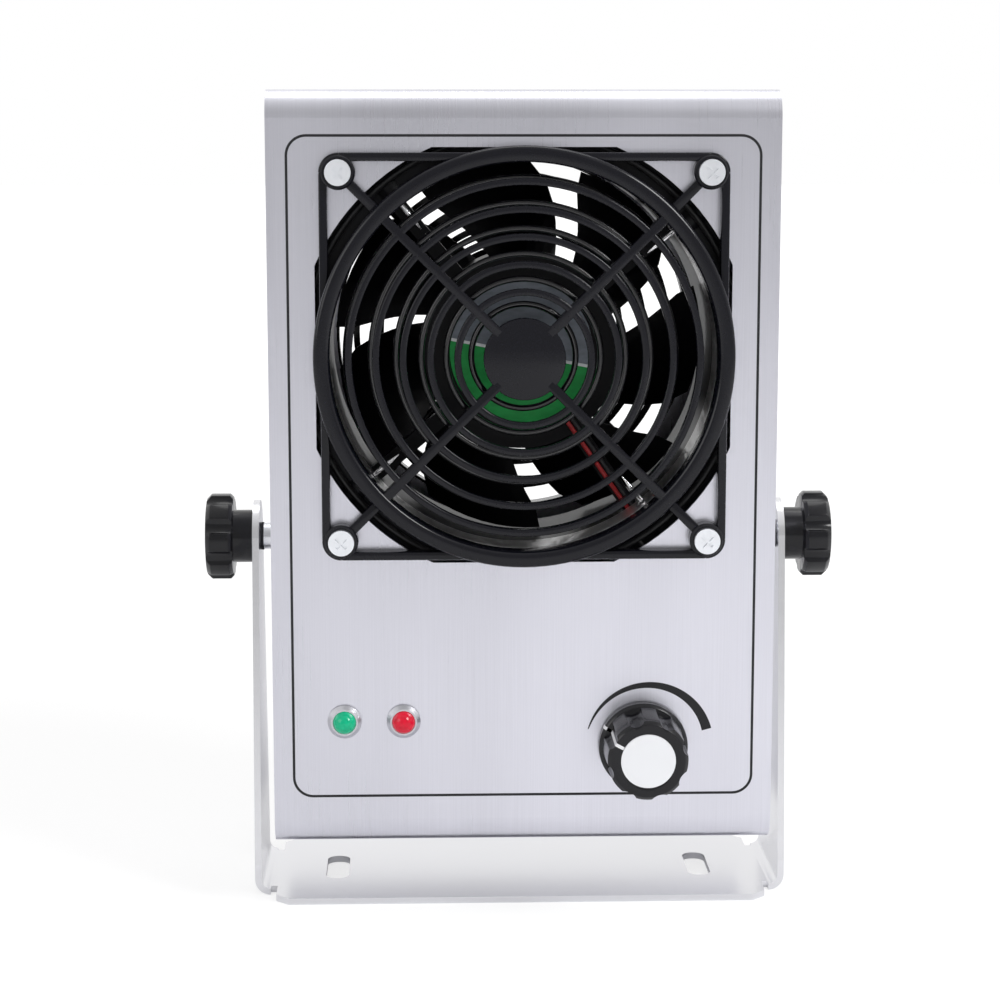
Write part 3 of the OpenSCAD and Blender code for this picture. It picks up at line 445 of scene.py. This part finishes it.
def softened(node, slot, finish, width, segments=2, angle=40):
    # The same form as the node with its sharp edges rounded over
    mesh = bmesh.new()
    mesh.from_mesh(nodes[node].data)
    bmesh.ops.remove_doubles(mesh, verts=mesh.verts, dist=0.000004)
    bmesh.ops.dissolve_limit(mesh, angle_limit=math.radians(1), verts=mesh.verts,
                             edges=mesh.edges)
    sharp = [e for e in mesh.edges if len(e.link_faces) == 2
             and e.calc_face_angle(0) > math.radians(angle)]
    bmesh.ops.bevel(mesh, geom=sharp, offset=width, offset_type="OFFSET", affect="EDGES",
                    segments=segments, profile=0.5, material=-1, clamp_overlap=True)
    bmesh.ops.triangulate(mesh, faces=[f for f in mesh.faces if len(f.verts) > 4])
    return piece(node + "_soft", mesh, bodyOf[node], slot, finish, node, 35)


softSet = {
    "tilt_knob_left": ("knob_black", "knob", 0.5), "tilt_knob_right": ("knob_black", "knob", 0.5),
    "speed_knob": ("knob_black", "knob", 0.4),
}
for node, (slot, finish, width) in softSet.items():
    softened(node, slot, finishes[finish], width * mm)
print("rounded pieces:", len(softSet))

guardSet = {
    "rim": 60, "rimWidth": 4.6, "depth": 7, "face": 6.5, "web": 2.2,
    "first": 19, "pitch": 7.75, "rings": 5, "ringWidth": 2, "disc": 11.7,
    "half": 58, "corner": 52.5, "bar": 2.4, "barHeight": 4.4,
    "boss": 4.9, "bossHeight": 5, "spoke": 2.8, "spokeHeight": 3.8, "round": 0.45,
    "rimRound": 1.3, "hole": 2.2, "spokeFoot": 0.3,
}


def turned(mesh, profile, steps):
    # A closed profile of (radius, height) pairs swept round the guard's axis
    corners = [mesh.verts.new((r * mm, 0, z * mm)) for r, z in profile]
    loop = [mesh.edges.new((a, b)) for a, b in zip(corners, corners[1:] + corners[:1])]
    bmesh.ops.spin(mesh, geom=corners + loop, cent=(0, 0, 0), axis=(0, 0, 1), steps=steps,
                   angle=math.tau, use_merge=True)


def eased(low, high, bottom, top, soft):
    # A rectangular section whose two top corners are rounded over
    turns = [math.radians(a) for a in (0, 30, 60, 90)]
    right = [(high - soft + soft * math.cos(a), top - soft + soft * math.sin(a)) for a in turns]
    left = [(low + soft - soft * math.sin(a), top - soft + soft * math.cos(a)) for a in turns]
    return [(low, bottom), (high, bottom)] + right + left


def bar3(mesh, size, centre, turn, soft):
    # A moulded bar with its long edges rounded over
    part = bmesh.ops.create_cube(mesh, size=1)["verts"]
    bmesh.ops.scale(mesh, vec=[s * mm for s in size], verts=part)
    edges = {e for v in part for e in v.link_edges}
    made = bmesh.ops.bevel(mesh, geom=list(edges), offset=soft * mm, affect="EDGES", segments=2,
                           profile=0.5, material=-1, clamp_overlap=True)
    part = list({v for f in made["faces"] for v in f.verts})
    bmesh.ops.translate(mesh, vec=[c * mm for c in centre], verts=part)
    bmesh.ops.rotate(mesh, cent=(0, 0, 0), verts=part, matrix=Matrix.Rotation(turn, 3, "Z"))


def fingerGuard(name, node, facing, values):
    # Rim, rings, disc, spokes, square frame and bosses, moulded in one
    v = values
    mesh = bmesh.new()
    turned(mesh, eased(v["rim"] - v["rimWidth"], v["rim"], 0.02, v["depth"], v["rimRound"]), 128)
    base = v["face"] - v["web"]
    for k in range(v["rings"]):
        r = v["first"] + k * v["pitch"]
        turned(mesh, eased(r - v["ringWidth"] / 2, r + v["ringWidth"] / 2, base, v["face"],
                           v["round"]), 96)
    turned(mesh, [(0.01, base), (v["disc"], base), (v["disc"], v["face"] - 0.5),
                  (v["disc"] - 0.15, v["face"] - 0.15), (v["disc"] - 0.5, v["face"]), (0.01, v["face"])], 64)
    inner = v["rim"] - v["rimWidth"] / 2
    reach = v["corner"] * math.sqrt(2) + v["half"] - v["corner"] - v["bar"] / 2
    for k in range(4):
        turn = math.radians(45 + 90 * k)
        long = inner - v["disc"] + 2
        bar3(mesh, (long, v["spoke"], v["web"]),
             (v["disc"] - 2 + long / 2, 0, base + v["web"] / 2 + 0.02), turn, v["round"])
        bar3(mesh, (reach - inner, v["spoke"], v["spokeHeight"]),
             ((reach + inner) / 2, 0, v["spokeFoot"] + v["spokeHeight"] / 2), turn, v["round"])
        side = math.radians(90 * k)
        bar3(mesh, (v["bar"], 2 * v["corner"], v["barHeight"]),
             (v["half"] - v["bar"] / 2, 0, v["barHeight"] / 2), side, v["round"])
        corner = bmesh.new()
        r0 = v["half"] - v["corner"] - v["bar"]
        profile = eased(r0, r0 + v["bar"], 0.0, v["barHeight"], v["round"])
        ring = [corner.verts.new((r * mm, 0, z * mm)) for r, z in profile]
        loop = [corner.edges.new((a, b)) for a, b in zip(ring, ring[1:] + ring[:1])]
        bmesh.ops.spin(corner, geom=ring + loop, cent=(0, 0, 0), axis=(0, 0, 1), steps=10,
                       angle=math.radians(90))
        bmesh.ops.holes_fill(corner, edges=corner.edges[:])
        boss = [(v["hole"], 0), (v["boss"], 0), (v["boss"], v["bossHeight"] - 0.4),
                (v["boss"] - 0.4, v["bossHeight"]), (v["hole"], v["bossHeight"])]
        turned(corner, boss, 32)
        bmesh.ops.translate(corner, vec=(v["corner"] * mm, v["corner"] * mm, 0), verts=corner.verts)
        bmesh.ops.rotate(corner, cent=(0, 0, 0), verts=corner.verts,
                         matrix=Matrix.Rotation(math.radians(90 * k), 3, "Z"))
        part = bpy.data.meshes.new("corner")
        corner.to_mesh(part)
        corner.free()
        mesh.from_mesh(part)
        bpy.data.meshes.remove(part)
    bmesh.ops.remove_doubles(mesh, verts=mesh.verts, dist=0.000002)
    bmesh.ops.rotate(mesh, cent=(0, 0, 0), verts=mesh.verts,
                     matrix=Matrix.Rotation(math.radians(90 * facing), 3, "X"))
    low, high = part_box(node)
    seat = high.y if facing > 0 else low.y
    bmesh.ops.translate(mesh, vec=(0, seat, fanZ), verts=mesh.verts)
    return piece(name, mesh, "housing", "guard_black", finishes["guard"], node, 38)


fingerGuard("front_guard_moulding", "front_guard", 1, guardSet)
fingerGuard("rear_guard_moulding", "rear_guard", -1, guardSet)
print("guards moulded")

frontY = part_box("front_shell")[0].y
shellLow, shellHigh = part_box("front_shell")
printBlack = moulded("printBlack", (0.012, 0.012, 0.014), 0.5)
printWhite = moulded("printWhite", (0.80, 0.80, 0.82), 0.5)

outlineSet = {"width": 135, "low": 14.7, "high": 12.5, "corner": 6, "line": 0.75, "film": 0.04}


def printedOutline(values):
    # A rounded rectangle, ruled round the whole front
    half = values["width"] * mm / 2
    low = shellLow.z + values["low"] * mm
    high = shellHigh.z - values["high"] * mm
    mesh = bmesh.new()
    corners = [mesh.verts.new((x, frontY, z))
               for x, z in ((-half, low), (half, low), (half, high), (-half, high))]
    mesh.faces.new(corners)
    bmesh.ops.bevel(mesh, geom=mesh.verts[:], offset=values["corner"] * mm, affect="VERTICES",
                    segments=12, profile=0.5, material=-1)
    bmesh.ops.inset_region(mesh, faces=mesh.faces[:], thickness=values["line"] * mm,
                           use_even_offset=True, use_boundary=True)
    middle = max(mesh.faces, key=lambda face: face.calc_area())
    bmesh.ops.delete(mesh, geom=[middle], context="FACES")
    lift = bmesh.ops.extrude_face_region(mesh, geom=mesh.faces[:])
    bmesh.ops.translate(mesh, vec=(0, -values["film"] * mm, 0),
                        verts=[v for v in lift["geom"] if isinstance(v, bmesh.types.BMVert)])
    return piece("printed_outline", mesh, "housing", "housing_steel", printBlack)


printedOutline(outlineSet)

knobLow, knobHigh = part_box("speed_knob")
knobX, knobZ = (knobLow.x + knobHigh.x) / 2, (knobLow.z + knobHigh.z) / 2
arcSet = {"radius": 18.8, "start": 165, "end": 15, "thin": 0.3, "thick": 2.9, "film": 0.04,
          "shift": 2.0}


def speedArc(values):
    # A printed arc that grows wider clockwise round the speed knob
    mesh = bmesh.new()
    turn = math.radians(values["start"])
    outer = values["radius"] * mm
    radial = Vector((math.cos(turn), 0, math.sin(turn)))
    centre = Vector((knobX + values["shift"] * mm, frontY, knobZ))
    ends = [mesh.verts.new(centre + radial * (outer - gap)) for gap in (0, 0.0005)]
    edge = mesh.edges.new(ends)
    bmesh.ops.spin(mesh, geom=ends + [edge], cent=centre, axis=(0, 1, 0), steps=60,
                   angle=math.radians(values["start"] - values["end"]))
    for vert in mesh.verts:
        arm = vert.co - centre
        if arm.length < outer - 0.0002:
            angle = math.degrees(math.atan2(arm.z, arm.x))
            share = (values["start"] - angle) / (values["start"] - values["end"])
            wide = values["thin"] + (values["thick"] - values["thin"]) * share ** 0.8
            vert.co = centre + arm.normalized() * (outer - wide * mm)
    lift = bmesh.ops.extrude_face_region(mesh, geom=mesh.faces[:])
    bmesh.ops.translate(mesh, vec=(0, -values["film"] * mm, 0),
                        verts=[v for v in lift["geom"] if isinstance(v, bmesh.types.BMVert)])
    return piece("speed_arc", mesh, "housing", "housing_steel", printBlack)


speedArc(arcSet)

pointerSet = {"angle": 152, "width": 0.95, "inner": 8.0, "flute": 10.62, "skirt": 12.3,
              "lip": 13.03, "skirtHeight": 3.2, "film": 0.12}


def pointerLine(values):
    # A filled line from the cap over the grip's edge, down a flute and out along the skirt
    face = knobLow.y - 0.00002
    foot = knobHigh.y - values["skirtHeight"] * mm
    mesh = bmesh.new()
    half = values["width"] * mm / 2
    route = [(values["inner"], face), (values["flute"], face), (values["flute"], foot),
             (values["skirt"], foot), (values["lip"], foot + 0.0008),
             (values["lip"], knobHigh.y - 0.0006)]
    side = [mesh.verts.new((route[0][0] * mm, route[0][1], s * half)) for s in (-1, 1)]
    edge = mesh.edges.new(side)
    for (r0, y0), (r1, y1) in zip(route, route[1:]):
        step = bmesh.ops.extrude_edge_only(mesh, edges=[edge])["geom"]
        bmesh.ops.translate(mesh, vec=((r1 - r0) * mm, y1 - y0, 0),
                            verts=[v for v in step if isinstance(v, bmesh.types.BMVert)])
        edge = [e for e in step if isinstance(e, bmesh.types.BMEdge)][0]
    bmesh.ops.recalc_face_normals(mesh, faces=mesh.faces)
    bmesh.ops.solidify(mesh, geom=mesh.faces[:], thickness=values["film"] * mm)
    bmesh.ops.rotate(mesh, cent=(0, 0, 0), verts=mesh.verts,
                     matrix=Matrix.Rotation(-math.radians(values["angle"]), 3, "Y"))
    bmesh.ops.translate(mesh, vec=(knobX, 0, knobZ), verts=mesh.verts)
    return piece("pointer_line", mesh, "speed_knob", "cap_silver", printWhite)


pointerLine(pointerSet)
print("printed lines made")


stageSet = {"reach": 8, "glow": 0.72, "camera": 0.36, "near": 0.3, "far": 1.6,
            "mirror": 0.25, "colour": (0.78, 0.78, 0.79, 1)}


def makeFloor(values):
    mesh = bmesh.new()
    bmesh.ops.create_grid(mesh, x_segments=4, y_segments=4, size=values["reach"])
    data = bpy.data.meshes.new("floor")
    mesh.to_mesh(data)
    mesh.free()
    floor = bpy.data.objects.new("floor", data)
    bpy.context.scene.collection.objects.link(floor)
    finish = Finish("floorWhite", Roughness=0.9, Specular_IOR_Level=0.0)
    path = finish.tree.nodes.new("ShaderNodeLightPath")
    seen = [Wire(finish, path.outputs[name]) for name in
            ("Is Camera Ray", "Is Glossy Ray", "Is Transmission Ray")]
    mirrored = seen[1].maths("MAXIMUM", seen[1], seen[2])
    finish.set("Base Color", finish.mix(seen[0], values["colour"], (values["camera"],) * 3 + (1,)))
    far = finish.add("ShaderNodeVectorMath", {"operation": "LENGTH"}, {0: finish.place}, "Value")
    lift = finish.add("ShaderNodeMapRange", {}, {"Value": far, "From Min": values["near"],
                      "From Max": values["far"], "To Min": values["glow"], "To Max": 1.0})
    finish.set("Emission Color", seen[0] * lift + mirrored * lift * values["mirror"])
    finish.set("Emission Strength", 1.0)
    data.materials.append(finish.material)


makeFloor(stageSet)

lampSet = {
    # name: place, aim, size, power in watts
    "key": ((0.85, -0.70, 0.95), (0, 0, 0.14), 0.55, 11),
    "fill": ((-1.1, -0.8, 0.6), (0, 0, 0.12), 0.9, 4),
    "top": ((0.1, 0.35, 1.3), (0, 0, 0.1), 0.8, 3),
}


def makeLamp(name, place, aim, size, power):
    data = bpy.data.lights.new(name, "AREA")
    data.shape = "DISK"
    data.size = size
    data.energy = power
    lamp = bpy.data.objects.new(name, data)
    lamp.location = place
    lamp.rotation_euler = (Vector(aim) - Vector(place)).to_track_quat("-Z", "Y").to_euler()
    bpy.context.scene.collection.objects.link(lamp)


for name, values in lampSet.items():
    makeLamp(name, *values)

worldSet = {"light": 0.50, "front": 0.50, "from": -0.85, "to": -0.05}


def makeWorld(values):
    # White where it is seen, darker behind the camera where it is mirrored, plain grey as light
    world = bpy.data.worlds.new("studio")
    world.use_nodes = True
    tree = world.node_tree
    back = tree.nodes["Background"]

    def link(kind, inputs, output=0, **settings):
        node = tree.nodes.new(kind)
        for key, value in settings.items():
            setattr(node, key, value)
        for key, value in inputs.items():
            if isinstance(value, bpy.types.NodeSocket):
                tree.links.new(value, node.inputs[key])
            else:
                node.inputs[key].default_value = value
        return node.outputs[output]

    path = tree.nodes.new("ShaderNodeLightPath").outputs
    way = link("ShaderNodeTexCoord", {}, "Generated")
    depth = link("ShaderNodeSeparateXYZ", {0: way}, 1)
    room = link("ShaderNodeMapRange", {"Value": depth, "From Min": values["from"],
                "From Max": values["to"], "To Min": values["front"], "To Max": 1.0})
    mirrored = link("ShaderNodeMath", {0: path["Is Glossy Ray"], 1: path["Is Transmission Ray"]},
                    operation="MAXIMUM")
    lit = link("ShaderNodeMix", {0: mirrored, 2: values["light"], 3: room})
    level = link("ShaderNodeMix", {0: path["Is Camera Ray"], 2: lit, 3: 1.0})
    tree.links.new(level, back.inputs["Strength"])
    back.inputs["Color"].default_value = (1, 1, 1, 1)
    bpy.context.scene.world = world


makeWorld(worldSet)
print("stage ready")
